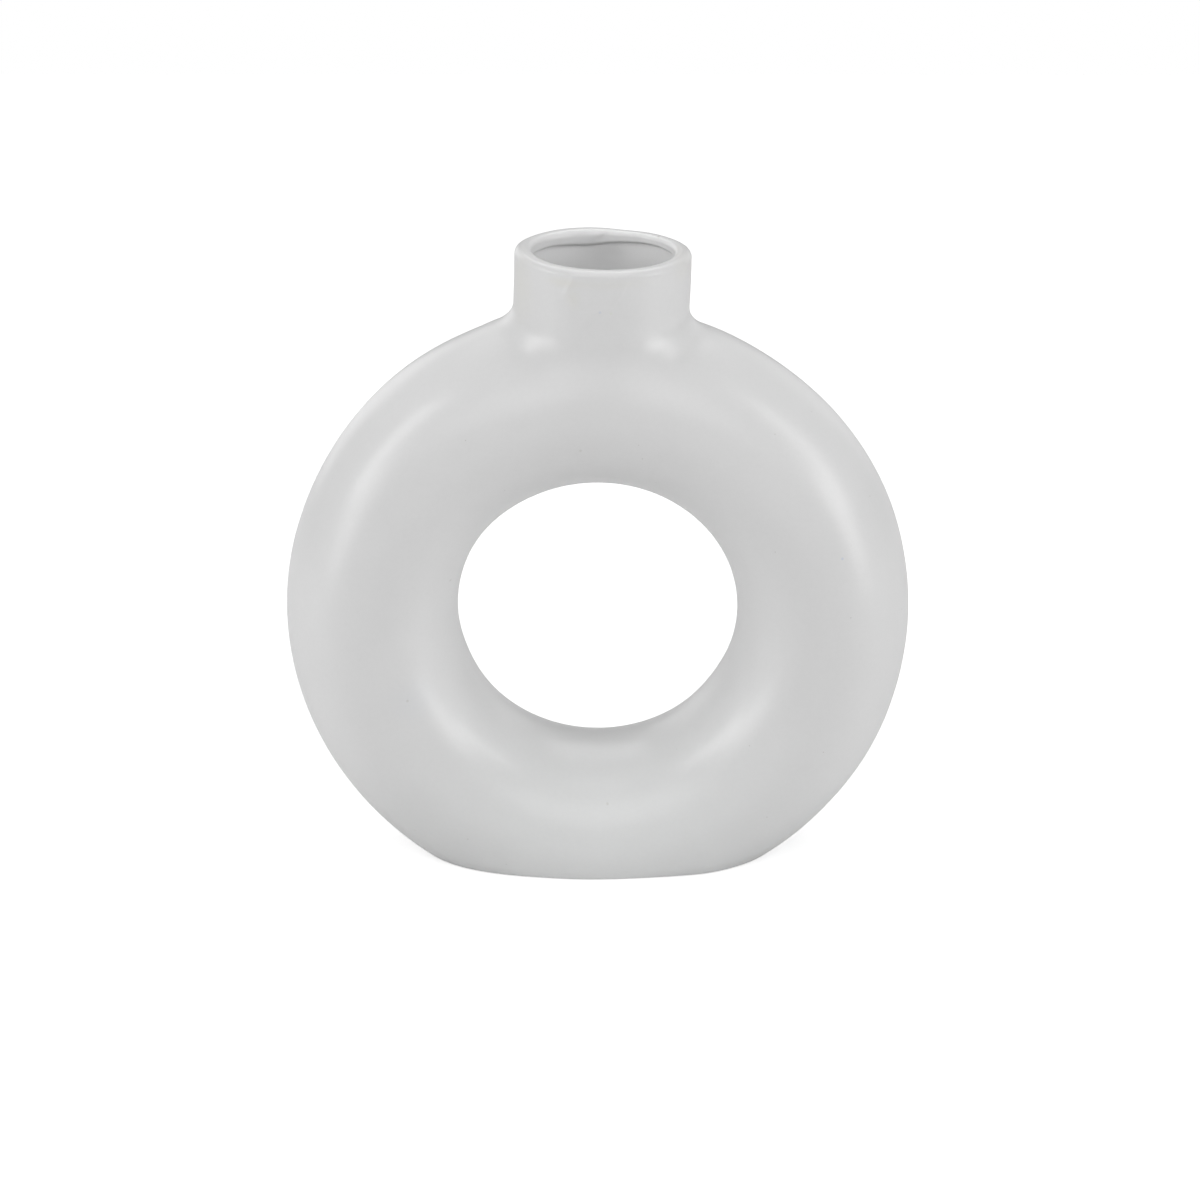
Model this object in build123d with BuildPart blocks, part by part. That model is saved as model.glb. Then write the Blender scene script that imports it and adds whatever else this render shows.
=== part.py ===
"""Donut vase: a hollow stoneware ring that stands on a flat foot, with a short
straight neck on its crown.

The ring is made as two half shells, front and back, that are joined on the
ring's middle plane.  Each carries half of the low stub on which the neck collar
is seated.  The bottom of the ring is cut flat, and a foot slab closes the cut.

Frame: millimetres, +Z up, +X to the right, and the front of the vase faces -Y.
The origin is on the surface the vase stands on, under the middle of the ring.
"""

from build123d import *

import os
from math import sqrt

# Ring: an oval tube bent round into a full circle
ring_outer_diameter = 240.0
ring_hole_diameter = 108.0
wall = 4.5

# Neck: a straight round collar, and how far the ring stands out in front of it
neck_outer_diameter = 66.5
neck_shoulder = 6.0
neck_rise = 23.5
neck_offset = 1.8

# Soft transitions where the neck grows out of the ring, outside and inside
neck_blend_radius = 6.5
throat_blend_radius = 5.0

# Lip: a thickened rim that stands in over the bore and is rounded at its crest
lip_overhang = 1.75
lip_land = 2.0
lip_outer_round_share = 0.45
lip_inner_round_share = 0.32
lip_under_round_share = 0.6

# Foot: the flat cut across the bottom of the ring, and the slab that closes it
foot_cut_depth = 22.0
foot_slab_thickness = 6.0
foot_edge_radius = 1.5
foot_rim_width = 11.0
foot_recess_depth = 1.5
foot_recess_round_share = 0.8

# Sizes of the ring that follow from the ones above
tube_height = (ring_outer_diameter - ring_hole_diameter) / 2
tube_depth = neck_outer_diameter + 2 * neck_shoulder
ring_radius = (ring_outer_diameter - tube_height) / 2
ring_centre_height = ring_outer_diameter / 2 - foot_cut_depth
ring_crown_height = ring_centre_height + ring_outer_diameter / 2
tube_crown_height = ring_centre_height + ring_radius

# Sizes of the neck: its joint lies just above the blend at the neck's two sides
neck_radius = neck_outer_diameter / 2
bore_radius = neck_radius - wall
side_shoulder_height = ring_centre_height + sqrt((ring_outer_diameter / 2) ** 2 - neck_radius**2)
collar_seat_height = side_shoulder_height + neck_blend_radius
neck_top_height = ring_crown_height + neck_rise

# Sizes of the lip
lip_thickness = wall + lip_overhang
lip_bore_radius = neck_radius - lip_thickness
lip_outer_round = lip_thickness * lip_outer_round_share
lip_inner_round = lip_thickness * lip_inner_round_share
lip_under_round = lip_overhang * lip_under_round_share
lip_land_foot = neck_top_height - lip_inner_round - lip_land
lip_underside_height = lip_land_foot - lip_under_round

# Sizes of the foot: the flat is widest on the two middle planes of the ring
foot_half_length = sqrt((ring_outer_diameter / 2) ** 2 - ring_centre_height**2)
tube_foot_height = ring_centre_height - ring_radius
foot_half_depth = tube_depth / 2 * sqrt(1 - (tube_foot_height / (tube_height / 2)) ** 2)
foot_recess_round = foot_recess_depth * foot_recess_round_share

ring_plane = Plane.XY.offset(ring_centre_height)
seat_plane = Plane.XY.offset(collar_seat_height)
neck_top_plane = Plane.XY.offset(neck_top_height)
foot_joint_plane = Plane.XY.offset(foot_slab_thickness)
neck_profile_plane = Plane(origin=(neck_offset, 0, 0), x_dir=(1, 0, 0), z_dir=(0, -1, 0))
ring_axis = Axis((0, 0, ring_centre_height), (0, 1, 0))
neck_axis = Axis((neck_offset, 0, 0), (0, 0, 1))


def keep_front_half(centre_x, reach):
    """Cut the open sketch back to its half in front of the middle plane."""
    with Locations((centre_x, reach)):
        Rectangle(4 * reach, 2 * reach, mode=Mode.SUBTRACT)


def half_tube_section(shrink):
    """Draw the front half of the tube's oval section, smaller by shrink all round."""
    with Locations((ring_radius, 0)):
        Ellipse(tube_height / 2 - shrink, tube_depth / 2 - shrink)
    keep_front_half(ring_radius, tube_depth)


def half_disc(radius):
    """Draw the front half of a disc on the neck's axis."""
    with Locations((neck_offset, 0)):
        Circle(radius)
    keep_front_half(neck_offset, neck_outer_diameter)


# Front half shell: half the ring and half the neck stub, hollow and open below
with BuildPart() as front_shell:
    with BuildSketch(ring_plane):
        half_tube_section(0)
    revolve(axis=ring_axis)
    with BuildSketch(seat_plane):
        half_disc(neck_radius)
    extrude(amount=tube_crown_height - collar_seat_height)
    fillet(front_shell.edges(Select.NEW), neck_blend_radius)

    with BuildSketch(ring_plane):
        half_tube_section(wall)
    revolve(axis=ring_axis, mode=Mode.SUBTRACT)
    with BuildSketch(neck_top_plane):
        half_disc(bore_radius)
    extrude(amount=tube_crown_height - neck_top_height, mode=Mode.SUBTRACT)
    throat = front_shell.edges(Select.NEW).filter_by(GeomType.BSPLINE)
    fillet(throat, throat_blend_radius)

    split(bisect_by=foot_joint_plane, keep=Keep.TOP)

# Back half shell: the mirror image of the front one across the middle plane
with BuildPart() as back_shell:
    add(front_shell.part)
    mirror(about=Plane.XZ, mode=Mode.REPLACE)

# Neck collar: straight outside, with the lip turned in at its top
with BuildPart() as neck_collar:
    with BuildSketch(neck_profile_plane):
        with BuildLine():
            outer_corner = (neck_radius, neck_top_height - lip_outer_round)
            crest_start = (neck_radius - lip_outer_round, neck_top_height)
            crest_end = (lip_bore_radius + lip_inner_round, neck_top_height)
            land_top = (lip_bore_radius, neck_top_height - lip_inner_round)
            outside = Line((neck_radius, collar_seat_height), outer_corner)
            TangentArc(outer_corner, crest_start, tangent=outside % 1)
            crest = Line(crest_start, crest_end)
            TangentArc(crest_end, land_top, tangent=crest % 1)
            land = Line(land_top, (lip_bore_radius, lip_land_foot))
            under_round = TangentArc(
                land @ 1,
                (lip_bore_radius + lip_under_round, lip_underside_height),
                tangent=land % 1,
            )
            Polyline(
                under_round @ 1,
                (bore_radius, lip_underside_height),
                (bore_radius, collar_seat_height),
                outside @ 0,
            )
        make_face()
    revolve(axis=neck_axis)

# Foot slab: the slice of the ring below the shells, with a shallow recess
with BuildPart() as foot_slab:
    with BuildSketch(ring_plane):
        half_tube_section(0)
    revolve(axis=ring_axis)
    split(bisect_by=foot_joint_plane, keep=Keep.BOTTOM)
    split(bisect_by=Plane.XY, keep=Keep.TOP)
    mirror(about=Plane.XZ)
    standing_face = foot_slab.faces().filter_by(GeomType.PLANE).sort_by(Axis.Z)[0]
    fillet(standing_face.edges(), foot_edge_radius)
    with BuildSketch(Plane.XY):
        Ellipse(foot_half_length - foot_rim_width, foot_half_depth - foot_rim_width)
    extrude(amount=foot_recess_depth, mode=Mode.SUBTRACT)
    recess_ceiling = foot_slab.faces().filter_by(GeomType.PLANE).sort_by(Axis.Z)[1]
    fillet(recess_ceiling.edges(), foot_recess_round)

front_shell.part.label = "front_shell"
back_shell.part.label = "back_shell"
neck_collar.part.label = "neck_collar"
foot_slab.part.label = "foot_slab"

os.makedirs("parts", exist_ok=True)
for piece in (front_shell, back_shell, neck_collar, foot_slab):
    export_step(piece.part, f"parts/{piece.part.label}.step")
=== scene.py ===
"""Looks of the donut vase: one continuous glazed skin over its clay pieces, and the
bare clay foot that it stands on, on a pale floor in soft studio light.

Metres, +Z up, and the front of the vase faces -Y.
"""

import logging
import math
from collections.abc import Iterator, Sequence
from contextlib import contextmanager
from dataclasses import dataclass
from enum import Enum

import bmesh
import bpy
import numpy as np
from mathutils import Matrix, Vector


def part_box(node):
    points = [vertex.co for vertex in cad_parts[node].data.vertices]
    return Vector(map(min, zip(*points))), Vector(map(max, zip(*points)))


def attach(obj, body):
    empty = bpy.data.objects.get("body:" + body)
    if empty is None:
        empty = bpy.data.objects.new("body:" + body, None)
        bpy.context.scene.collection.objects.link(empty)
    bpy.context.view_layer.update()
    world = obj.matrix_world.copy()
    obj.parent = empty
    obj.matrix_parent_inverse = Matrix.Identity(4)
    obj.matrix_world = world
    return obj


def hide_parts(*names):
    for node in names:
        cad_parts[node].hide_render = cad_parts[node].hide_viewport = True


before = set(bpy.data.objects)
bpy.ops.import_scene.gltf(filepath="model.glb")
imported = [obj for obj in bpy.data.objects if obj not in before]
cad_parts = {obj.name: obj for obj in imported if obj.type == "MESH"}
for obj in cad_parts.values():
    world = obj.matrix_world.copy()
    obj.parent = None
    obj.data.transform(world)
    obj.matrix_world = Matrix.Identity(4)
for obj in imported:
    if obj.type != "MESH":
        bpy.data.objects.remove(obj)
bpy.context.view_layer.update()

LOG = logging.getLogger("donut_vase")
MM = 0.001
FULL_TURN = 2 * math.pi
MERGE_DISTANCE = 0.02 * MM
LEAST_SLOPE = 1e-6
FACING_DOWN = -0.999
ENDLESS = 1000.0
WHITE = (1.0, 1.0, 1.0, 1.0)
PATCH_DETAIL = 4.0
FLOAT, VECTOR = "NodeSocketFloat", "NodeSocketVector"
Point = tuple[float, float]
Triple = tuple[float, float, float]
Piece, Mesh = bpy.types.Object, bmesh.types.BMesh
Tree, Socket = bpy.types.NodeTree, bpy.types.NodeSocket


class Slot(Enum):
    """Names of the record's material slots for the glaze and the bare clay."""

    GLAZE = "glaze"
    CLAY = "bare_clay"


@dataclass(frozen=True)
class VaseSizes:
    """Sizes of the vase as it was drawn, the outer ones read from the frame."""

    ring_outer_radius: float
    tube_half_depth: float
    seat_height: float
    foot_joint_height: float
    neck_radius: float
    neck_x: float
    neck_top: float
    hole_radius: float = 54.0 * MM
    foot_cut_depth: float = 22.0 * MM
    wall: float = 4.5 * MM
    neck_blend: float = 6.5 * MM
    throat_blend: float = 5.0 * MM
    lip_thickness: float = 6.25 * MM
    lip_outer_round: float = 2.8 * MM
    lip_inner_round: float = 2.0 * MM
    lip_land: float = 2.0 * MM
    lip_under_round: float = 1.05 * MM

    @classmethod
    def from_frame(cls) -> "VaseSizes":
        """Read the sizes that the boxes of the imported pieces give.

        Returns:
            The sizes of the vase.
        """
        shell_low, shell_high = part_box("front_shell")
        collar_low, collar_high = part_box("neck_collar")
        return cls(
            ring_outer_radius=(shell_high.x - shell_low.x) / 2,
            tube_half_depth=-shell_low.y,
            seat_height=shell_high.z,
            foot_joint_height=shell_low.z,
            neck_radius=(collar_high.x - collar_low.x) / 2,
            neck_x=(collar_high.x + collar_low.x) / 2,
            neck_top=collar_high.z,
        )

    @property
    def centre_height(self) -> float:
        """Height of the ring's centre above the surface that the vase stands on."""
        return self.ring_outer_radius - self.foot_cut_depth

    @property
    def tube_half_height(self) -> float:
        """Half the height of the tube's oval section."""
        return (self.ring_outer_radius - self.hole_radius) / 2

    @property
    def ring_radius(self) -> float:
        """Radius of the circle round which the tube is bent."""
        return self.ring_outer_radius - self.tube_half_height

    @property
    def bore_radius(self) -> float:
        """Inner radius of the neck below its lip."""
        return self.neck_radius - self.wall

    @property
    def underside_height(self) -> float:
        """Height of the lip's underside, where it stands in over the bore."""
        return self.neck_top - self.lip_inner_round - self.lip_land - self.lip_under_round

    def form(self, depth: float, blend: float) -> "HollowForm":
        """Give the form of the outside, or of what lies at a depth inside it.

        Args:
            depth: How deep inside the outer surface the form lies.
            blend: The radius of the corner between its ring and its neck.

        Returns:
            The form.
        """
        return HollowForm(
            self.ring_radius,
            self.tube_half_height - depth,
            self.tube_half_depth - depth,
            self.centre_height,
            self.neck_radius - depth,
            self.neck_x,
            blend,
        )


@contextmanager
def editing(piece: Piece) -> Iterator[Mesh]:
    """Open a piece in edit mode with nothing selected, and close it again.

    Args:
        piece: The mesh object to edit.

    Yields:
        The edit mesh of the piece.
    """
    activate(piece)
    bpy.ops.object.mode_set(mode="EDIT")
    bpy.ops.mesh.select_all(action="DESELECT")
    yield bmesh.from_edit_mesh(piece.data)
    bpy.ops.object.mode_set(mode="OBJECT")


def activate(piece: Piece) -> None:
    """Make a piece the active object and the only one that is selected.

    Args:
        piece: The mesh object.
    """
    bpy.ops.object.select_all(action="DESELECT")
    piece.select_set(True)
    bpy.context.view_layer.objects.active = piece


def read_points(piece: Piece) -> np.ndarray:
    """Give the vertices of a piece as an array.

    Args:
        piece: The mesh object.

    Returns:
        The points, one a row.
    """
    points = np.zeros(len(piece.data.vertices) * 3)
    piece.data.vertices.foreach_get("co", points)
    return points.reshape(-1, 3)


def write_points(piece: Piece, points: np.ndarray) -> None:
    """Put the vertices of a piece at the points given, one point a row."""
    piece.data.vertices.foreach_set("co", points.astype(np.float32).ravel())
    piece.data.update()


def set_level_circle(
    loop: Sequence[bmesh.types.BMVert], centre_x: float, radius: float, height: float
) -> None:
    """Set the vertices of a loop as a level circle, evenly spaced, one of them on its +X side.

    Args:
        loop: The vertices, in any order.
        centre_x: Where the circle's centre lies along X.
        radius: The radius of the circle.
        height: The height of the circle.
    """
    step = FULL_TURN / len(loop)
    ordered = sorted(loop, key=lambda vertex: math.atan2(vertex.co.y, vertex.co.x - centre_x))
    nearest = min(ordered, key=lambda vertex: abs(math.atan2(vertex.co.y, vertex.co.x - centre_x)))
    first = ordered.index(nearest)
    for place, vertex in enumerate(ordered[first:] + ordered[:first]):
        angle = place * step
        vertex.co = (centre_x + radius * math.cos(angle), radius * math.sin(angle), height)


def raise_loop(centre_x: float, start: Point, end: Point) -> None:
    """Extrude the selected level circle to a new radius and height.

    Args:
        centre_x: Where the circle's centre lies along X.
        start: The circle's radius and height.
        end: The new circle's radius and height.
    """
    rise = end[1] - start[1]
    growth = end[0] / start[0]
    bpy.ops.mesh.extrude_edges_move(TRANSFORM_OT_translate={"value": (0, 0, rise)})
    bpy.ops.transform.resize(value=(growth, growth, 1), center_override=(centre_x, 0, end[1]))


def straight(start: Point, end: Point, row: float) -> list[Point]:
    """Give points along a line.

    Args:
        start: Where the line starts, which is left out.
        end: Where it ends.
        row: The most that the points are apart.

    Returns:
        The points.
    """
    count = max(1, math.ceil(math.dist(start, end) / row))
    return [
        (start[0] + (end[0] - start[0]) * k / count, start[1] + (end[1] - start[1]) * k / count)
        for k in range(1, count + 1)
    ]


def arc(centre: Point, radius: float, start: float, end: float, count: int) -> list[Point]:
    """Give points along an arc between two angles in degrees, its start left out."""
    turns = [math.radians(start + (end - start) * k / count) for k in range(1, count + 1)]
    return [(centre[0] + radius * math.cos(turn), centre[1] + radius * math.sin(turn)) for turn in turns]


@dataclass(frozen=True)
class HollowForm:
    """A bent tube with a round neck on its crown, as a distance from its surface.

    The outside of the vase is one such form, and the hollow inside it is another.
    """

    ring_radius: float
    half_height: float
    half_depth: float
    centre_height: float
    neck_radius: float
    neck_x: float
    blend: float

    def distance(self, points: np.ndarray) -> np.ndarray:
        """Give how far points lie outside the form, less than zero inside it.

        Args:
            points: The points, one a row.

        Returns:
            One distance for each point.
        """
        x, y, z = points[:, 0], points[:, 1], points[:, 2] - self.centre_height
        out = np.hypot(x, z) - self.ring_radius
        reach = np.hypot(out / self.half_height, y / self.half_depth)
        slope = np.hypot(out / self.half_height**2, y / self.half_depth**2)
        tube = reach * (reach - 1) / np.maximum(slope, LEAST_SLOPE)
        neck = np.hypot(x - self.neck_x, y) - self.neck_radius
        neck = np.where(z > self.ring_radius, neck, self.ring_radius)
        corner = np.hypot(np.maximum(self.blend - tube, 0), np.maximum(self.blend - neck, 0))
        return np.maximum(np.minimum(tube, neck), self.blend) - corner

    def settle(self, points: np.ndarray, rounds: int) -> np.ndarray:
        """Move points on to the surface, along its normal.

        Args:
            points: Points near the surface, one a row.
            rounds: How many times each point is moved.

        Returns:
            The moved points.
        """
        step = 0.001 * MM
        for _ in range(rounds):
            here = self.distance(points)
            slopes = [(self.distance(points + step * axis) - here) / step for axis in np.eye(3)]
            slope = np.stack(slopes, axis=1)
            steepness = np.maximum((slope**2).sum(axis=1), LEAST_SLOPE)
            points = points - slope * (here / steepness)[:, None]
        return points


@dataclass(frozen=True)
class RingModel:
    """Models one hollow form as an even mesh that is open at the top of its neck."""

    form: HollowForm
    seat_height: float
    ring_segments: int = 48
    tube_segments: int = 24
    crown_half_angle: float = math.radians(22.5)
    crown_half_turn: float = math.radians(75.0)
    subdivisions: int = 2
    relax_rounds: int = 40
    relax_reach: float = 75.0 * MM
    relax_share: float = 0.5
    settle_rounds: int = 4

    def build(self, name: str) -> Piece:
        """Model the form: a torus, opened at its crown and drawn up into a neck.

        Args:
            name: The name of the new object.

        Returns:
            The new object.
        """
        form = self.form
        bpy.ops.object.select_all(action="DESELECT")
        bpy.ops.mesh.primitive_torus_add(
            location=(0, 0, form.centre_height),
            rotation=(math.pi / 2, 0, 0),
            major_segments=self.ring_segments,
            minor_segments=self.tube_segments,
            major_radius=form.ring_radius,
            minor_radius=form.half_height,
        )
        piece = bpy.context.active_object
        piece.name = name
        bpy.ops.object.transform_apply(location=True, rotation=True, scale=True)
        with editing(piece):
            bpy.ops.mesh.select_all(action="SELECT")
            bpy.ops.transform.resize(value=(1, form.half_depth / form.half_height, 1))
        self._open_crown(piece)
        self._draw_up_neck(piece)
        piece.modifiers.new("even", "SUBSURF").levels = self.subdivisions
        activate(piece)
        bpy.ops.object.modifier_apply(modifier="even")
        self._relax(piece)
        return piece

    def _open_crown(self, piece: Piece) -> None:
        """Delete the faces of the torus that lie under the neck.

        Args:
            piece: The torus.
        """
        form = self.form
        with editing(piece) as mesh:
            for face in mesh.faces:
                centre = face.calc_center_median()
                up = centre.z - form.centre_height
                angle = abs(math.atan2(centre.x, up))
                out = math.hypot(centre.x, up) - form.ring_radius
                turn = abs(math.atan2(centre.y / form.half_depth, out / form.half_height))
                face.select_set(angle < self.crown_half_angle and turn < self.crown_half_turn)
            bpy.ops.mesh.delete(type="FACE")

    def _draw_up_neck(self, piece: Piece) -> None:
        """Extrude the edge of the opened crown into the neck, up to the seat.

        Args:
            piece: The torus, open at its crown.
        """
        form = self.form
        shoulder = form.centre_height + form.ring_radius + form.half_height
        circles = (
            (form.neck_radius + form.blend, shoulder - form.blend),
            (form.neck_radius, (shoulder + self.seat_height) / 2),
            (form.neck_radius, self.seat_height),
        )
        for radius, height in circles:
            with editing(piece) as mesh:
                for edge in mesh.edges:
                    edge.select_set(edge.is_boundary)
                bpy.ops.mesh.extrude_edges_move()
                mesh = bmesh.from_edit_mesh(piece.data)
                loop = [vertex for vertex in mesh.verts if vertex.select]
                set_level_circle(loop, form.neck_x, radius, height)

    def _relax(self, piece: Piece) -> None:
        """Even out the mesh round the neck, and seat every vertex on the form.

        Args:
            piece: The ring with its neck.
        """
        form = self.form
        with editing(piece) as mesh:
            rim = [vertex for vertex in mesh.verts if vertex.is_boundary]
            set_level_circle(rim, form.neck_x, form.neck_radius, self.seat_height)
            fixed = [vertex.index for vertex in rim]
        points = read_points(piece)
        held = points[fixed]
        ends = np.zeros(len(piece.data.edges) * 2, dtype=np.int64)
        piece.data.edges.foreach_get("vertices", ends)
        ends = ends.reshape(-1, 2)
        neighbours = np.bincount(ends.ravel(), minlength=len(points))[:, None]
        from_neck = np.hypot(points[:, 0] - form.neck_x, points[:, 2] - self.seat_height)
        share = self.relax_share * np.clip(2 - 2 * from_neck / self.relax_reach, 0, 1)[:, None]
        for _ in range(self.relax_rounds):
            total = np.zeros_like(points)
            np.add.at(total, ends[:, 0], points[ends[:, 1]])
            np.add.at(total, ends[:, 1], points[ends[:, 0]])
            points = form.settle(points + (total / neighbours - points) * share, rounds=1)
            points[fixed] = held
        points = form.settle(points, self.settle_rounds)
        points[fixed] = held
        write_points(piece, points)


@dataclass(frozen=True)
class Swell:
    """A soft swelling round an angle, or with a negative height a hollow."""

    angle: float
    width: float
    height: float

    def at(self, angles: np.ndarray) -> np.ndarray:
        """Give the height of the swelling at angles in degrees."""
        away = (angles - self.angle + 180) % 360 - 180
        return self.height * np.exp(-((away / self.width) ** 2))


@dataclass(frozen=True)
class Ridge:
    """A thin raised line on the front of the neck, through points of angle and height."""

    path: tuple[Point, ...]
    width: float
    height: float

    def at(self, around: np.ndarray, levels: np.ndarray, radius: float) -> np.ndarray:
        """Give the height of the ridge at places on the neck.

        Args:
            around: The angle of each place round the neck, in degrees.
            levels: The height of each place.
            radius: The radius of the neck.

        Returns:
            How far each place is raised.
        """
        places = np.stack([np.radians(around) * radius, levels], axis=1)
        nearest = np.full(len(places), np.inf)
        corners = [np.array([math.radians(angle) * radius, level]) for angle, level in self.path]
        for start, end in zip(corners, corners[1:]):
            along = end - start
            share = np.clip((places - start) @ along / (along @ along), 0, 1)
            gap = np.linalg.norm(places - start - share[:, None] * along, axis=1)
            nearest = np.minimum(nearest, gap)
        return self.height * np.exp(-((nearest / self.width) ** 2))


@dataclass(frozen=True)
class LipFold:
    """The back of the lip, rolled in more on its left, where it ends in a slanting crease."""

    crease_angle: float = 84.0
    crease_width: float = 7.0
    crease_slant: float = 2000.0
    fade_start: float = 120.0
    fade_end: float = 165.0
    bulge: float = 0.6 * MM
    crest_power: float = 1.5
    low: float = 235.6 * MM
    high: float = 241.6 * MM

    def at(self, around: np.ndarray, levels: np.ndarray) -> np.ndarray:
        """Give how far the roll stands in at places on the inside of the lip.

        Args:
            around: The angle of each place round the neck, in degrees.
            levels: The height of each place.

        Returns:
            How far each place is moved towards the neck's axis.
        """
        crease = self.crease_angle + self.crease_slant * (self.high - levels)
        rise = ease(around - crease, self.crease_width)
        fall = ease(self.fade_end - around, self.fade_end - self.fade_start)
        share = np.clip((levels - self.low) / (self.high - self.low), 0, 1)
        return self.bulge * rise * fall * np.sin(math.pi * share**self.crest_power)


@dataclass(frozen=True)
class Shoulder:
    """Where the corner between neck and ring is filled out at one side, or with a negative fill cut in."""

    angle: float
    width: float
    fill: float
    out: float = 0.0
    reach: float = 6.0 * MM

    def at(self, around: np.ndarray, past_neck: np.ndarray, above_ring: np.ndarray) -> np.ndarray:
        """Give how far the corner is filled out at places near it.

        Args:
            around: The angle of each place round the neck, in degrees.
            past_neck: How far each place lies outside the neck.
            above_ring: How far each place lies above the corner.

        Returns:
            How far each place is moved out from the corner.
        """
        from_middle = np.hypot(past_neck - self.out, above_ring)
        share = np.exp(-((from_middle / self.reach) ** 2))
        return Swell(self.angle, self.width, self.fill).at(around) * share


@dataclass(frozen=True)
class HandMarks:
    """How the finished vase strays from its drawing, as clay and glaze do by hand.

    Angles are in degrees from +X: round the ring they count towards +Z, and round
    the neck towards +Y, its back.
    """

    sizes: VaseSizes
    neck_lean: float = math.radians(1.1)
    lean_start: float = 212 * MM
    lean_end: float = 232 * MM
    neck_drift: float = -0.3 * MM
    neck_growth: float = -0.2 * MM
    drift_start: float = 211 * MM
    drift_end: float = 220 * MM
    crest_level: float = -0.35 * MM
    underside_fade: float = 8 * MM
    crown_fade: float = 6 * MM
    floor_level: float = 3 * MM
    floor_fade: float = 12 * MM
    margin: float = 1 * MM
    ring_outside: tuple[Swell, ...] = (
        Swell(22, 10, 0.25 * MM),
        Swell(55, 14, -0.65 * MM),
        Swell(127, 12, 0.5 * MM),
        Swell(157, 10, -0.2 * MM),
        Swell(216, 26, -0.4 * MM),
        Swell(242, 7, -0.3 * MM),
        Swell(306, 8, 0.3 * MM),
        Swell(332, 12, 0.4 * MM),
    )
    ring_hole: tuple[Swell, ...] = (
        Swell(144, 22, -0.7 * MM),
        Swell(202, 17, 0.6 * MM),
        Swell(326, 14, 0.5 * MM),
    )
    foot_front: tuple[Swell, ...] = (Swell(268, 10, 0.9 * MM), Swell(294, 5, 0.9 * MM))
    foot_front_height: float = 30 * MM
    shoulders: tuple[Shoulder, ...] = (
        Shoulder(180, 50, 0.9 * MM, out=6 * MM, reach=7 * MM),
        Shoulder(0, 50, -0.7 * MM),
    )
    lip_crest: tuple[Swell, ...] = (
        Swell(185, 28, 0.85 * MM),
        Swell(-8, 28, 0.6 * MM),
        Swell(120, 38, 0.45 * MM),
        Swell(75, 14, -0.35 * MM),
    )
    lip_underside: tuple[Swell, ...] = (Swell(103, 20, -1.1 * MM), Swell(40, 38, 1.15 * MM))
    ridges: tuple[Ridge, ...] = (
        Ridge(((-128, 239.6 * MM), (-90, 240.1 * MM), (-50, 239.6 * MM)), 0.7 * MM, 0.2 * MM),
        Ridge(((-108.5, 239.5 * MM), (-111.2, 236.2 * MM), (-114.6, 232.2 * MM)), 0.9 * MM, 0.3 * MM),
        Ridge(((-111.2, 230.1 * MM), (-104, 228.2 * MM), (-97.6, 230.7 * MM)), 0.9 * MM, 0.2 * MM),
        Ridge(
            (
                (-75.4, 237.3 * MM),
                (-78, 233.6 * MM),
                (-84.3, 228.5 * MM),
                (-94.4, 225.8 * MM),
                (-102.7, 220.7 * MM),
            ),
            0.9 * MM,
            0.26 * MM,
        ),
    )
    fold: LipFold = LipFold()
    sharp_angle: float = math.radians(40)

    def give_to(self, piece: Piece) -> None:
        """Give a piece the marks, and shade it smooth between its sharp edges.

        Args:
            piece: The mesh object, as drawn.
        """
        write_points(piece, self.work(read_points(piece)))
        activate(piece)
        bpy.ops.object.shade_smooth_by_angle(angle=self.sharp_angle)

    def work(self, points: np.ndarray) -> np.ndarray:
        """Move points of the drawn vase to where the hand-made one has them.

        Args:
            points: The points, one a row.

        Returns:
            The moved points.
        """
        for mark in (self._neck_marks, self._shoulder_fill, self._ring_swells, self._neck_drift, self._lean):
            points = points + mark(points)
        return points

    def _neck_marks(self, points: np.ndarray) -> np.ndarray:
        """Give how the lip waves and folds, and where glaze has run on the neck.

        Args:
            points: The points, one a row.

        Returns:
            How far each point is moved.
        """
        s = self.sizes
        x, y, z = points[:, 0] - s.neck_x, points[:, 1], points[:, 2]
        out = np.hypot(x, y)
        around = np.degrees(np.arctan2(y, x))
        middle = s.neck_radius - s.lip_thickness / 2
        on_neck = (out < s.neck_radius + self.margin) & (z > s.seat_height - self.margin)
        raised = sum(ridge.at(around, z, s.neck_radius) for ridge in self.ridges) * (out > middle)
        rolled = self.fold.at(around, z) * (out < s.neck_radius - s.lip_outer_round)
        sideways = (raised - rolled) * on_neck / np.maximum(out, self.margin)
        crest = self.crest_level + sum(swell.at(around) for swell in self.lip_crest)
        underside = sum(swell.at(around) for swell in self.lip_underside)
        upper = ease(z - s.seat_height, s.neck_top - s.seat_height)
        below = ease(s.underside_height - z, self.underside_fade)
        above = ease(z - s.underside_height, s.neck_top - s.underside_height)
        inner = (1 - below) * (1 - above) * (out < middle)
        rise = (crest * upper * (1 - inner) + underside * inner) * on_neck
        return np.stack([x * sideways, y * sideways, rise], axis=1)

    def _shoulder_fill(self, points: np.ndarray) -> np.ndarray:
        """Give how the corners beside the neck are filled out or cut in.

        Args:
            points: The points, one a row.

        Returns:
            How far each point is moved.
        """
        s = self.sizes
        x, y, z = points[:, 0] - s.neck_x, points[:, 1], points[:, 2]
        out = np.maximum(np.hypot(x, y), self.margin)
        corner = s.centre_height + math.sqrt(s.ring_outer_radius**2 - s.neck_radius**2)
        around = np.degrees(np.arctan2(y, x))
        fill = sum(shoulder.at(around, out - s.neck_radius, z - corner) for shoulder in self.shoulders)
        fill = fill / math.sqrt(2)
        fill = fill * (out > s.neck_radius - s.wall / 2)
        return np.stack([fill * x / out, fill * y / out, fill], axis=1)

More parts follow.
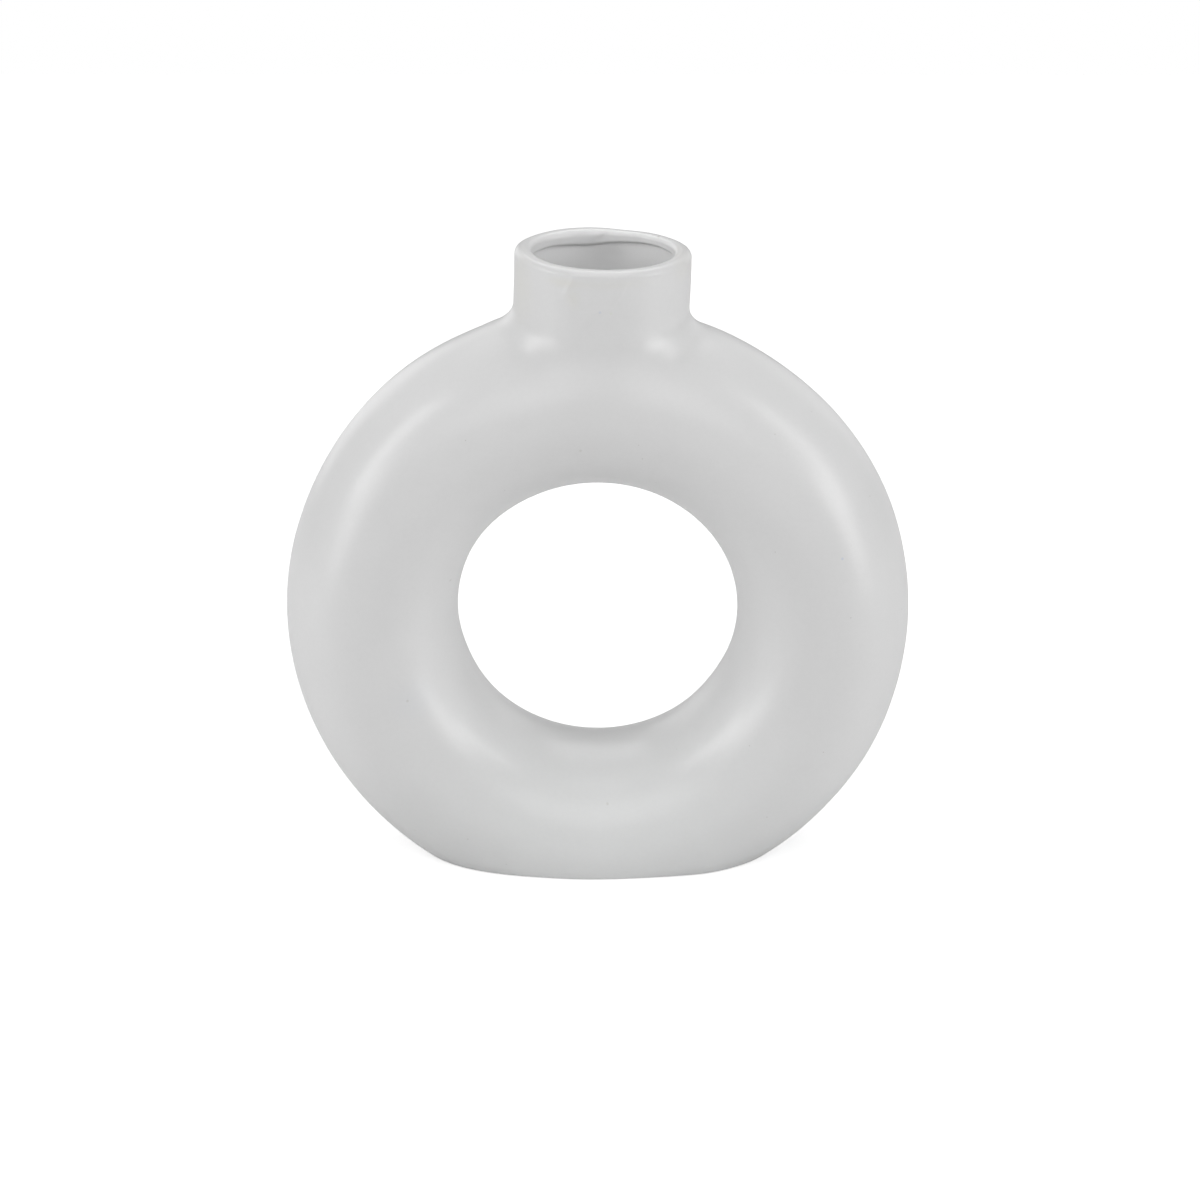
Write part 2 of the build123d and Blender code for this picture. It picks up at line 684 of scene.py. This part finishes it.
    def _ring_swells(self, points: np.ndarray) -> np.ndarray:
        """Give how the ring's outside, its hole and the front of its foot swell out and in.

        Args:
            points: The points, one a row.

        Returns:
            How far each point is moved.
        """
        s = self.sizes
        x, z = points[:, 0], points[:, 2] - s.centre_height
        away = np.maximum(np.hypot(x, z), self.margin)
        angles = np.degrees(np.arctan2(z, x))
        side = np.clip((away - s.ring_radius) / s.tube_half_height, -1, 1)
        outside = sum(swell.at(angles) for swell in self.ring_outside)
        hole = sum(swell.at(angles) for swell in self.ring_hole)
        neck = 1 - ease(away - s.ring_outer_radius, self.crown_fade)
        floor = ease(points[:, 2] - self.floor_level, self.floor_fade)
        offset = (outside * (1 + side) - hole * (1 - side)) / 2 * neck / away
        low = 1 - ease(points[:, 2], self.foot_front_height)
        ahead = np.clip(-points[:, 1] / s.tube_half_depth, 0, 1) * low
        forward = sum(swell.at(angles) for swell in self.foot_front) * ahead
        return np.stack([offset * x, -forward, offset * z * floor], axis=1)

    def _neck_drift(self, points: np.ndarray) -> np.ndarray:
        """Give how the neck stands a little to the left, and how much slimmer it is than drawn.

        Args:
            points: The points, one a row.

        Returns:
            How far each point is moved.
        """
        s = self.sizes
        share = ease(points[:, 2] - self.drift_start, self.drift_end - self.drift_start)
        growth = self.neck_growth / s.neck_radius * share
        across = self.neck_drift * share + growth * (points[:, 0] - s.neck_x)
        return np.stack([across, growth * points[:, 1], np.zeros_like(share)], axis=1)

    def _lean(self, points: np.ndarray) -> np.ndarray:
        """Give how the neck leans to the right above the ring's shoulder.

        Args:
            points: The points, one a row.

        Returns:
            How far each point is moved.
        """
        above = points[:, 2] - self.lean_start
        near = ease(above, self.lean_end - self.lean_start)
        turn = math.sin(self.neck_lean) * near
        across = points[:, 0] - self.sizes.neck_x
        return np.stack([turn * above, np.zeros_like(turn), -turn * across], axis=1)


def ease(part: np.ndarray, whole: float) -> np.ndarray:
    """Give the share of a whole that is reached, from 0 to 1 and eased in and out."""
    share = np.clip(part / whole, 0, 1)
    return share * share * (3 - 2 * share)


@dataclass
class GlazedSkin:
    """The glazed skin of the vase, outside and inside, as one closed mesh."""

    sizes: VaseSizes
    marks: HandMarks
    outer_row: float = 1.5 * MM
    inner_row: float = 2.5 * MM
    outer_round_rows: int = 9
    inner_round_rows: int = 7
    under_round_rows: int = 5
    pool_rows: int = 4
    margin: float = 1 * MM
    column_tolerance: float = 0.25
    glaze_edge_height: float = 0.3 * MM
    shortest_edge: float = 0.65 * MM
    edge_round: float = 0.15 * MM
    edge_segments: int = 3
    pocket_inset: float = 0.6 * MM
    pocket_depth: float = 2.7 * MM

    def build(self) -> tuple[Piece, Piece]:
        """Model the skin.

        Returns:
            The skin, and a flat piece with the outline of the pocket in its foot.
        """
        s = self.sizes
        skin = RingModel(s.form(0, s.neck_blend), s.seat_height).build("glazed_skin")
        columns = self._raise_collar(skin)
        cut_flat(skin, self.glaze_edge_height)
        self._sink_foot_pocket(skin)
        flat = flat_of(skin, "bare_foot")
        inner = RingModel(s.form(s.wall, s.throat_blend), s.seat_height).build("hollow")
        cut_flat(inner, s.foot_joint_height)
        activate(skin)
        inner.select_set(True)
        bpy.ops.object.join()
        with editing(skin):
            bpy.ops.mesh.select_all(action="SELECT")
            bpy.ops.mesh.remove_doubles(threshold=MERGE_DISTANCE)
            bpy.ops.mesh.normals_make_consistent(inside=False)
        self._refine_collar(skin, columns)
        self.marks.give_to(skin)
        return skin, flat

    def _raise_collar(self, piece: Piece) -> int:
        """Draw the open neck up, round the lip and down inside to its seat again.

        Args:
            piece: The outside of the ring, open at the top of its neck.

        Returns:
            How many columns of faces the collar has.
        """
        s = self.sizes
        with editing(piece) as mesh:
            for edge in mesh.edges:
                edge.select_set(edge.is_boundary)
            columns = sum(edge.is_boundary for edge in mesh.edges)
            here = (s.neck_radius, s.seat_height)
            for point in self._profile():
                raise_loop(s.neck_x, here, point)
                here = point
        return columns

    def _profile(self) -> list[Point]:
        """Give the collar's profile, from its outer seat to its inner one.

        Returns:
            The radius and the height of each of its points.
        """
        s = self.sizes
        lip_radius = s.neck_radius - s.lip_thickness
        outer_centre = (s.neck_radius - s.lip_outer_round, s.neck_top - s.lip_outer_round)
        inner_centre = (lip_radius + s.lip_inner_round, s.neck_top - s.lip_inner_round)
        under_centre = (lip_radius + s.lip_under_round, s.underside_height + s.lip_under_round)
        points = straight((s.neck_radius, s.seat_height), (s.neck_radius, outer_centre[1]), self.outer_row)
        points += arc(outer_centre, s.lip_outer_round, 0, 90, self.outer_round_rows)
        points += straight(points[-1], (inner_centre[0], s.neck_top), self.outer_row)
        points += arc(inner_centre, s.lip_inner_round, 90, 180, self.inner_round_rows)
        points += straight(points[-1], (lip_radius, under_centre[1]), self.outer_row / 2)
        points += arc(under_centre, s.lip_under_round, 180, 270, self.under_round_rows)
        pool = s.lip_thickness - s.wall - s.lip_under_round
        points += arc((s.bore_radius - pool, s.underside_height - pool), pool, 90, 0, self.pool_rows)
        points += straight(points[-1], (s.bore_radius, s.seat_height), self.inner_row)
        return points

    def _sink_foot_pocket(self, piece: Piece) -> None:
        """Round the glaze's lower edge, and sink the flat that takes the bare foot.

        Args:
            piece: The outside of the vase, cut flat below.
        """
        with editing(piece) as mesh:
            largest_face(mesh).select_set(True)
            bpy.ops.mesh.remove_doubles(threshold=self.shortest_edge)
        with editing(piece) as mesh:
            largest_face(mesh).select_set(True)
            bpy.ops.mesh.bevel(offset=self.edge_round, segments=self.edge_segments, affect="EDGES")
        with editing(piece) as mesh:
            largest_face(mesh).select_set(True)
            sink(self.glaze_edge_height, self.pocket_inset, self.pocket_depth)

    def _refine_collar(self, piece: Piece, columns: int) -> None:
        """Split the collar's faces in four, the new columns set out to its round.

        Args:
            piece: The skin.
            columns: How many columns of faces the collar has.
        """
        s = self.sizes
        with editing(piece) as mesh:
            for face in mesh.faces:
                centre = face.calc_center_median()
                away = math.hypot(centre.x - s.neck_x, centre.y)
                face.select_set(centre.z > s.seat_height and away < s.neck_radius + self.margin)
            bpy.ops.mesh.subdivide(number_cuts=1)
        points = read_points(piece)
        x, y = points[:, 0] - s.neck_x, points[:, 1]
        on_collar = np.hypot(x, y) < s.neck_radius + self.margin
        on_collar &= points[:, 2] > s.seat_height - MERGE_DISTANCE
        column = np.arctan2(y, x) * columns / FULL_TURN
        between = on_collar & (np.abs(column - np.round(column)) > self.column_tolerance)
        growth = np.where(between, 1 / math.cos(math.pi / columns), 1)
        points[:, 0] = s.neck_x + x * growth
        points[:, 1] = y * growth
        write_points(piece, points)


@dataclass(frozen=True)
class BareFoot:
    """The bare clay foot that stands out just below the glaze, with a shallow recess."""

    pocket_top: float = 3.0 * MM
    edge_round: float = 0.25 * MM
    edge_segments: int = 2
    rim_width: float = 9.5 * MM
    recess_depth: float = 1.5 * MM
    recess_round: float = 1.2 * MM
    recess_segments: int = 4

    def build(self, flat: Piece, marks: HandMarks) -> Piece:
        """Model the foot from a flat piece with its outline.

        Args:
            flat: The flat piece, at the top of the foot.
            marks: The hand marks that the skin round the foot has.

        Returns:
            The foot.
        """
        with editing(flat):
            bpy.ops.mesh.select_all(action="SELECT")
            extrude_up(-self.pocket_top)
            bpy.ops.mesh.select_all(action="SELECT")
            bpy.ops.mesh.normals_make_consistent(inside=False)
        with editing(flat) as mesh:
            underside(mesh, 0).select_set(True)
            bpy.ops.mesh.bevel(offset=self.edge_round, segments=self.edge_segments, affect="EDGES")
        with editing(flat) as mesh:
            underside(mesh, 0).select_set(True)
            sink(0, self.rim_width, self.recess_depth)
        with editing(flat) as mesh:
            underside(mesh, self.recess_depth).select_set(True)
            bpy.ops.mesh.bevel(offset=self.recess_round, segments=self.recess_segments, affect="EDGES")
        marks.give_to(flat)
        return flat


def cut_flat(piece: Piece, height: float) -> None:
    """Cut away what lies below a height, and close the cut with a flat face.

    Args:
        piece: The mesh object to cut.
        height: The height of the cut.
    """
    with editing(piece):
        bpy.ops.mesh.select_all(action="SELECT")
        bpy.ops.mesh.bisect(plane_co=(0, 0, height), plane_no=(0, 0, 1), use_fill=True, clear_inner=True)


def extrude_up(rise: float) -> None:
    """Extrude the selected faces straight up, or with a negative rise down."""
    bpy.ops.mesh.extrude_region_move(TRANSFORM_OT_translate={"value": (0, 0, rise)})


def level_at(height: float) -> None:
    """Bring what is selected to one height."""
    bpy.ops.transform.resize(value=(1, 1, 0), center_override=(0, 0, height))


def sink(height: float, rim: float, depth: float) -> None:
    """Sink the selected level face inside a rim.

    Args:
        height: The height of the face.
        rim: The width of the rim.
        depth: How deep the face is sunk.
    """
    level_at(height)
    bpy.ops.mesh.inset(thickness=rim)
    level_at(height)
    extrude_up(depth)


def largest_face(mesh: Mesh) -> bmesh.types.BMFace:
    """Give the largest face of a mesh, which is the flat that closes its foot."""
    return max(mesh.faces, key=lambda face: face.calc_area())


def underside(mesh: Mesh, height: float) -> bmesh.types.BMFace:
    """Give the largest face at a height that looks down.

    Args:
        mesh: The edit mesh.
        height: The height of the face.

    Returns:
        The face.
    """
    level = [face for face in mesh.faces if face.normal.z < FACING_DOWN]
    near = [face for face in level if abs(face.calc_center_median().z - height) < MERGE_DISTANCE]
    return max(near, key=lambda face: face.calc_area())


def flat_of(piece: Piece, name: str) -> Piece:
    """Give a copy of a piece's largest face as a flat piece of its own.

    Args:
        piece: The piece.
        name: The name of the flat piece.

    Returns:
        The flat piece.
    """
    flat = piece.copy()
    flat.data = piece.data.copy()
    flat.name = name
    bpy.context.scene.collection.objects.link(flat)
    with editing(flat) as mesh:
        kept = largest_face(mesh).index
        for face in mesh.faces:
            face.select_set(face.index != kept)
        bpy.ops.mesh.delete(type="FACE")
    return flat


class ShaderTree:
    """A node tree, with each new node's inputs set or linked as it is added.

    Its numbers are the places of a mix node's colours among its inputs and outputs.
    """

    FIRST, SECOND, MIXED = 6, 7, 2

    def __init__(self, tree: Tree) -> None:
        self.tree = tree

    def add(
        self, kind: str, inputs: dict[str | int, object] | None = None, **settings: object
    ) -> bpy.types.Node:
        """Add a node.

        Args:
            kind: The node's type.
            inputs: A value or another node's output for each input that isn't left as it is.
            settings: The node's own settings.

        Returns:
            The node.
        """
        node = self.tree.nodes.new(kind)
        for name, setting in settings.items():
            setattr(node, name, setting)
        self.fill(node, inputs or {})
        return node

    def fill(self, node: bpy.types.Node, inputs: dict[str | int, object]) -> None:
        """Set or link inputs of a node.

        Args:
            node: The node.
            inputs: A value or another node's output for each input that is filled.
        """
        for name, value in inputs.items():
            if isinstance(value, Socket):
                self.tree.links.new(value, node.inputs[name])
            else:
                node.inputs[name].default_value = value

    def group(self, group: Tree, inputs: dict[str, object]) -> Socket:
        """Give the mask of a shared node group."""
        return self.add("ShaderNodeGroup", inputs, node_tree=group).outputs[0]

    def math(self, operation: str, first: object, second: object) -> Socket:
        """Give the result of a sum of two values."""
        return self.add("ShaderNodeMath", {0: first, 1: second}, operation=operation).outputs[0]

    def vector(self, operation: str, *inputs: object) -> bpy.types.Node:
        """Add a node that works on vectors."""
        return self.add("ShaderNodeVectorMath", dict(enumerate(inputs)), operation=operation)

    def place(self) -> Socket:
        """Give the place on the piece that is shaded, in the piece's own frame."""
        return self.add("ShaderNodeTexCoord").outputs["Object"]

    def ramp(self, value: object, low: object, high: object) -> Socket:
        """Give a share that eases from 0 to 1 as a value goes from low to high."""
        inputs = {"Value": value, "From Min": low, "From Max": high}
        return self.add("ShaderNodeMapRange", inputs, interpolation_type="SMOOTHSTEP").outputs["Result"]

    def blend(self, share: object, first: object, second: object, how: str = "MIX") -> Socket:
        """Give the colour between two, at a share from the first to the second."""
        inputs = {"Factor": share, self.FIRST: first, self.SECOND: second}
        return self.add("ShaderNodeMix", inputs, data_type="RGBA", blend_type=how).outputs[self.MIXED]

    def tint(self, mask: object, colour: object, factor: Triple) -> Socket:
        """Give a colour that is multiplied by a factor where a mask lies."""
        return self.blend(mask, colour, (*factor, 1), "MULTIPLY")

    def bump(self, height: object, distance: float, **more: object) -> Socket:
        """Give the normals of a surface that a mask raises by up to a distance."""
        inputs = {"Height": height, "Strength": 1.0, "Distance": distance, **more}
        return self.add("ShaderNodeBump", inputs).outputs[0]


def start_material(name: str) -> tuple[bpy.types.Material, ShaderTree, bpy.types.Node]:
    """Start a material.

    Args:
        name: The name of the material.

    Returns:
        The material, its tree and its shader.
    """
    material = bpy.data.materials.new(name)
    material.use_nodes = True
    return material, ShaderTree(material.node_tree), material.node_tree.nodes["Principled BSDF"]


@contextmanager
def mask_group(name: str, **inputs: str) -> Iterator[tuple[ShaderTree, bpy.types.Node]]:
    """Start a node group that several finishes share, which gives a mask.

    Args:
        name: The name of the group.
        inputs: The kind of each input, by name.

    Yields:
        The group's tree and the node that holds its inputs.
    """
    tree = bpy.data.node_groups.new(name, "ShaderNodeTree")
    for label, kind in inputs.items():
        tree.interface.new_socket(label, in_out="INPUT", socket_type=kind)
    tree.interface.new_socket("Mask", in_out="OUTPUT", socket_type=FLOAT)
    yield ShaderTree(tree), tree.nodes.new("NodeGroupInput")


@dataclass(frozen=True)
class Effects:
    """The node groups that the finishes share."""

    patchy: Tree
    spot: Tree
    specks: Tree

    @classmethod
    def build(cls) -> "Effects":
        """Make the groups: soft patches, one soft spot round a place, and small scattered specks.

        Returns:
            The groups.
        """
        with mask_group("patchy", Scale=FLOAT, Low=FLOAT, High=FLOAT) as (patchy, given):
            inputs = {"Vector": patchy.place(), "Scale": given.outputs["Scale"], "Detail": PATCH_DETAIL}
            noise = patchy.add("ShaderNodeTexNoise", inputs).outputs[0]
            mask = patchy.ramp(noise, given.outputs["Low"], given.outputs["High"])
            patchy.add("NodeGroupOutput", {"Mask": mask})
        with mask_group("spot", Centre=VECTOR, Reach=VECTOR, Core=FLOAT) as (spot, given):
            away = spot.vector("SUBTRACT", spot.place(), given.outputs["Centre"]).outputs[0]
            share = spot.vector("DIVIDE", away, given.outputs["Reach"]).outputs[0]
            length = spot.vector("LENGTH", share).outputs["Value"]
            spot.add("NodeGroupOutput", {"Mask": spot.ramp(length, 1.0, given.outputs["Core"])})
        with mask_group("specks", Scale=FLOAT, Size=FLOAT, Share=FLOAT) as (specks, given):
            inputs = {"Vector": specks.place(), "Scale": given.outputs["Scale"]}
            cells = specks.add("ShaderNodeTexVoronoi", inputs)
            chance = specks.add("ShaderNodeSeparateColor", {"Color": cells.outputs["Color"]}).outputs[0]
            chosen = specks.math("LESS_THAN", chance, given.outputs["Share"])
            half = specks.math("MULTIPLY", given.outputs["Size"], 0.5)
            dot = specks.ramp(cells.outputs["Distance"], given.outputs["Size"], half)
            specks.add("NodeGroupOutput", {"Mask": specks.math("MULTIPLY", dot, chosen)})
        return cls(patchy.tree, spot.tree, specks.tree)


@dataclass(frozen=True)
class Patches:
    """Soft patches all over a piece: how many a metre has, and the range of tone that they show."""

    scale: float
    low: float
    high: float

    def mask(self, tree: ShaderTree, effects: Effects) -> Socket:
        """Give the patches as a mask in a tree."""
        return tree.group(effects.patchy, {"Scale": self.scale, "Low": self.low, "High": self.high})


@dataclass(frozen=True)
class Specks:
    """Scattered specks: how many places a metre has, their size there, and the share that is taken."""

    scale: float
    size: float
    share: float

    def mask(self, tree: ShaderTree, effects: Effects) -> Socket:
        """Give the specks as a mask in a tree."""
        return tree.group(effects.specks, {"Scale": self.scale, "Size": self.size, "Share": self.share})


@dataclass(frozen=True)
class Tint:
    """A soft place where the glaze's colour is multiplied by a factor: a stain or speck in the glaze, or
    painted shade or painted light.

    Its centre and its reach along each axis are in millimetres.
    """

    centre: Triple
    reach: Triple
    factor: Triple
    core: float = 0.0


def speck(
    centre: Triple,
    factor: Triple = (0.89, 0.885, 0.865),
    reach: Triple = (0.7, 3.0, 0.7),
    core: float = 0.3,
) -> Tint:
    """Give a single small speck at a centre in millimetres."""
    return Tint(centre, reach, factor, core)


@dataclass(frozen=True)
class Glaze:
    """The satin glaze: pale grey, a little patchy, with small specks and stains, some painted shade and
    painted light casts, and painted light inside the neck.
    """

    light: Triple = (0.785, 0.785, 0.785)
    dark: Triple = (0.763, 0.763, 0.763)
    # Painted light: how much lighter the inside of the neck is painted, to lift its shade.
    painted_light_inside_factor: Triple = (1.21, 1.21, 1.21)
    inside_margin: float = 1.5 * MM
    inside_core: float = 0.97
    inside_start: float = 4 * MM
    inside_end: float = 3 * MM
    grain_factor: Triple = (0.985, 0.985, 0.985)
    grain_height: float = 0.003 * MM
    ripple_height: float = 0.04 * MM
    speck_factor: Triple = (0.80, 0.79, 0.77)
    roughness: float = 0.31
    roughness_swing: float = 0.05
    clouds: Patches = Patches(14, 0.35, 0.65)
    grain: Patches = Patches(700, 0.2, 0.8)
    ripples: Patches = Patches(90, 0, 1)
    specks: Specks = Specks(140, 0.045, 0.35)
    stains_and_painted_light: tuple[Tint, ...] = (
        Tint((-13, -30, 236.5), (10, 8, 3.2), (0.985, 0.980, 0.955)),
        Tint((-9, -31.5, 231), (4.5, 8, 6), (0.985, 0.982, 0.960)),
        Tint((3, -31, 236.5), (27, 12, 3), (0.992, 0.990, 0.975)),
        Tint((-29, -14, 231), (8, 24, 20), (1.0, 0.995, 0.970)),
        Tint((31, -8, 238), (6, 22, 8), (1.0, 0.995, 0.972)),
        Tint((7.5, 27.5, 230.5), (7, 6, 2.2), (1.03, 1.03, 1.03)),
        # Painted shade: a faint bluish darkening on the back of the lip, where its inner face turns into
        # shade.
        Tint((-12, 29, 238.5), (18, 8, 4), (0.985, 0.993, 1.008)),
        # Painted light: a faint cool cast low on the ring's left front, as a cool light gives it.
        Tint((-70, -36, 74), (14, 14, 14), (0.985, 0.992, 1.0)),
        # Painted light: a faint greenish cast over the low front, as light bounced off the floor gives it.
        Tint((0, -30, 20), (140, 60, 70), (0.990, 1.0, 0.996)),
        speck((0.9, -33.0, 226.3), (0.90, 0.93, 0.99)),
        speck((4.9, -33.0, 225.8), (0.97, 0.985, 0.94)),
        speck((23.0, 20.0, 240.5), (0.88, 0.87, 0.85)),
        speck((-6.3, -37.4, 174.6)),
        speck((5.5, -26.7, 209.1)),
        speck((-55.8, -20.7, 117.1)),
        speck((-72.1, -36.9, 74.6)),
        speck((3.8, -32.4, 29.8)),
        speck((91.4, -37.2, 132.1), (0.84, 0.88, 0.97)),
    )

    def build(self, effects: Effects, sizes: VaseSizes) -> bpy.types.Material:
        """Make the material.

        Args:
            effects: The shared node groups.
            sizes: The sizes of the vase, which say where the inside of its neck is.

        Returns:
            The material.
        """
        material, tree, shader = start_material("satin_glaze")
        grain, ripples = self.grain.mask(tree, effects), self.ripples.mask(tree, effects)
        colour = tree.blend(self.clouds.mask(tree, effects), (*self.dark, 1), (*self.light, 1))
        colour = tree.tint(grain, colour, self.grain_factor)
        for tint in self.stains_and_painted_light:
            inputs = {"Centre": Vector(tint.centre) * MM, "Reach": Vector(tint.reach) * MM, "Core": tint.core}
            colour = tree.tint(tree.group(effects.spot, inputs), colour, tint.factor)
        # Painted light: the shaded inside of the neck is made lighter.
        colour = tree.tint(self._painted_light_inside_neck(tree, effects, sizes), colour, self.painted_light_inside_factor)
        colour = tree.tint(self.specks.mask(tree, effects), colour, self.speck_factor)
        least, most = self.roughness - self.roughness_swing / 2, self.roughness + self.roughness_swing / 2
        inputs = {"Value": ripples, "To Min": least, "To Max": most}
        roughness = tree.add("ShaderNodeMapRange", inputs).outputs[0]
        normals = tree.bump(grain, self.grain_height, Normal=tree.bump(ripples, self.ripple_height))
        tree.fill(shader, {"Base Color": colour, "Roughness": roughness, "Normal": normals})
        return material

    def _painted_light_inside_neck(self, tree: ShaderTree, effects: Effects, sizes: VaseSizes) -> Socket:
        """Give a mask of the inside of the neck, where painted light makes the glaze lighter than on the
        lip's crest, to lift its shade.

        Args:
            tree: The glaze's tree.
            effects: The shared node groups.
            sizes: The sizes of the vase.

        Returns:
            The mask.
        """
        reach = sizes.bore_radius + self.inside_margin
        inputs = {"Centre": (sizes.neck_x, 0, 0), "Reach": (reach, reach, ENDLESS), "Core": self.inside_core}
        within = tree.group(effects.spot, inputs)
        height = tree.add("ShaderNodeSeparateXYZ", {0: tree.place()}).outputs["Z"]
        above_seat = tree.ramp(height, sizes.seat_height - self.inside_start, sizes.seat_height)
        below_crest = tree.ramp(height, sizes.neck_top + self.inside_end, sizes.underside_height)
        return tree.math("MULTIPLY", within, tree.math("MULTIPLY", above_seat, below_crest))


@dataclass(frozen=True)
class BareClay:
    """The bare fired clay of the foot: rough, warm and sandy."""

    light: Triple = (0.60, 0.58, 0.545)
    dark: Triple = (0.53, 0.51, 0.465)
    speck_factor: Triple = (0.62, 0.58, 0.52)
    roughness: float = 0.88
    sand_height: float = 0.05 * MM
    clouds: Patches = Patches(60, 0.3, 0.7)
    sand: Patches = Patches(1800, 0.3, 0.7)
    specks: Specks = Specks(700, 0.2, 0.3)

    def build(self, effects: Effects) -> bpy.types.Material:
        """Make the material.

        Args:
            effects: The shared node groups.

        Returns:
            The material.
        """
        material, tree, shader = start_material("bare_clay")
        colour = tree.blend(self.clouds.mask(tree, effects), (*self.dark, 1), (*self.light, 1))
        colour = tree.tint(self.specks.mask(tree, effects), colour, self.speck_factor)
        normals = tree.bump(self.sand.mask(tree, effects), self.sand_height)
        tree.fill(shader, {"Base Color": colour, "Roughness": self.roughness, "Normal": normals})
        return material


def aim(name: str, data: bpy.types.ID, look_at: Vector, turn: Point, distance: float) -> Piece:
    """Add a light or camera that faces a point.

    Args:
        name: The name of the new object.
        data: The light or camera.
        look_at: The point that it faces.
        turn: Its azimuth from the front and its elevation over that point, in degrees.
        distance: How far from the point it stands.

    Returns:
        The new object.
    """
    azimuth, elevation = math.radians(turn[0]), math.radians(turn[1])
    level = math.cos(elevation)
    away = Vector((math.sin(azimuth) * level, -math.cos(azimuth) * level, math.sin(elevation)))
    aimed = bpy.data.objects.new(name, data)
    aimed.location = look_at + distance * away
    aimed.rotation_euler = (-away).to_track_quat("-Z", "Y").to_euler()
    bpy.context.scene.collection.objects.link(aimed)
    return aimed


@dataclass(frozen=True)
class PhotoCamera:
    """The camera, at the photograph's viewing angle."""

    distance: float = 1.3535
    elevation: float = 21.035
    lens: float = 105.0
    sensor: float = 36.0
    shift: Point = (0.00202, 0.00691)

    def build(self, look_at: Vector) -> None:
        """Add the camera and make it the scene's own.

        Args:
            look_at: The point that the camera looks at.
        """
        data = bpy.data.cameras.new("camera")
        data.lens = self.lens
        data.sensor_width = self.sensor
        data.shift_x, data.shift_y = self.shift
        bpy.context.scene.camera = aim("camera", data, look_at, (0, self.elevation), self.distance)


@dataclass(frozen=True)
class Softbox:
    """A rectangular studio light that faces the vase."""

    name: str
    azimuth: float
    elevation: float
    distance: float
    width: float
    height: float
    power: float

    def build(self, look_at: Vector) -> None:
        """Add the light.

        Args:
            look_at: The point that the light faces.
        """
        data = bpy.data.lights.new(self.name, "AREA")
        data.shape = "RECTANGLE"
        data.size, data.size_y = self.width, self.height
        data.energy = self.power
        aim(self.name, data, look_at, (self.azimuth, self.elevation), self.distance)


@dataclass
class Studio:
    """The pale floor, the white surround and the lights."""

    look_at: Vector
    floor_size: float = 2.8
    surround: float = 0.12
    surround_reflected: float = 0.2
    floor_colour: Triple = (0.8, 0.8, 0.8)
    floor_roughness: float = 1.0
    floor_lift: float = 0.55
    softboxes: tuple[Softbox, ...] = (
        Softbox("left_strip", -78, 30, 1.6, 0.35, 1.0, 5.7),
        Softbox("right_strip", 78, 30, 1.6, 0.35, 1.0, 4.5),
        Softbox("front", 0, 38, 2.2, 2.8, 1.3, 15.3),
        Softbox("left_low", -65, 8, 2.0, 0.7, 1.0, 7.0),
        Softbox("right_low", 65, 8, 2.0, 0.7, 1.0, 8.9),
        Softbox("back_left", -150, 10, 2.2, 1.0, 1.2, 3.9),
        Softbox("back_right", 150, 10, 2.2, 1.0, 1.2, 2.0),
        Softbox("back_high", 180, 55, 1.8, 1.5, 1.0, 10.3),
        Softbox("top", 0, 88, 1.4, 1.0, 1.0, 2.7),
    )

    def build(self) -> None:
        """Build the studio."""
        for softbox in self.softboxes:
            softbox.build(self.look_at)
        self._surround()
        self._floor()
        bpy.context.scene.view_settings.view_transform = "Standard"

    def _surround(self) -> None:
        """Light the vase evenly from all sides, with more in its gloss, and show the camera white."""
        world = bpy.data.worlds.new("surround")
        bpy.context.scene.world = world
        world.use_nodes = True
        tree = ShaderTree(world.node_tree)
        rays = tree.add("ShaderNodeLightPath").outputs
        inputs = {"Factor": rays["Is Glossy Ray"], "A": self.surround, "B": self.surround_reflected}
        lit = tree.add("ShaderNodeMix", inputs).outputs[0]
        inputs = {"Factor": rays["Is Camera Ray"], "A": lit, "B": 1.0}
        brightness = tree.add("ShaderNodeMix", inputs).outputs[0]
        tree.fill(world.node_tree.nodes["Background"], {"Color": WHITE, "Strength": brightness})

    def _floor(self) -> None:
        """Add the floor, which the camera sees as white but for the vase's shadow."""
        bpy.ops.object.select_all(action="DESELECT")
        bpy.ops.mesh.primitive_plane_add(size=self.floor_size)
        floor = bpy.context.active_object
        floor.name = "floor"
        material, tree, shader = start_material("floor_white")
        seen = tree.add("ShaderNodeLightPath").outputs["Is Camera Ray"]
        inputs = {
            "Base Color": (*self.floor_colour, 1),
            "Roughness": self.floor_roughness,
            "Emission Color": WHITE,
            "Emission Strength": tree.math("MULTIPLY", seen, self.floor_lift),
        }
        tree.fill(shader, inputs)
        floor.data.materials.append(material)


def main() -> None:
    """Build the vase and its studio."""
    logging.basicConfig(level=logging.INFO)
    sizes = VaseSizes.from_frame()
    marks = HandMarks(sizes)
    skin, flat = GlazedSkin(sizes, marks).build()
    foot = BareFoot().build(flat, marks)
    effects = Effects.build()
    skin.data.materials.append(Glaze().build(effects, sizes))
    foot.data.materials.append(BareClay().build(effects))
    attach(skin, "root")
    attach(foot, "root")
    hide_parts("front_shell", "back_shell", "neck_collar")
    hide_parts("foot_slab")
    for piece in (skin, foot):
        LOG.info("%s has %d faces", piece.name, len(piece.data.polygons))
    look_at = Vector((0, 0, sizes.centre_height))
    Studio(look_at).build()
    PhotoCamera().build(look_at)


if __name__ == "__main__":
    main()
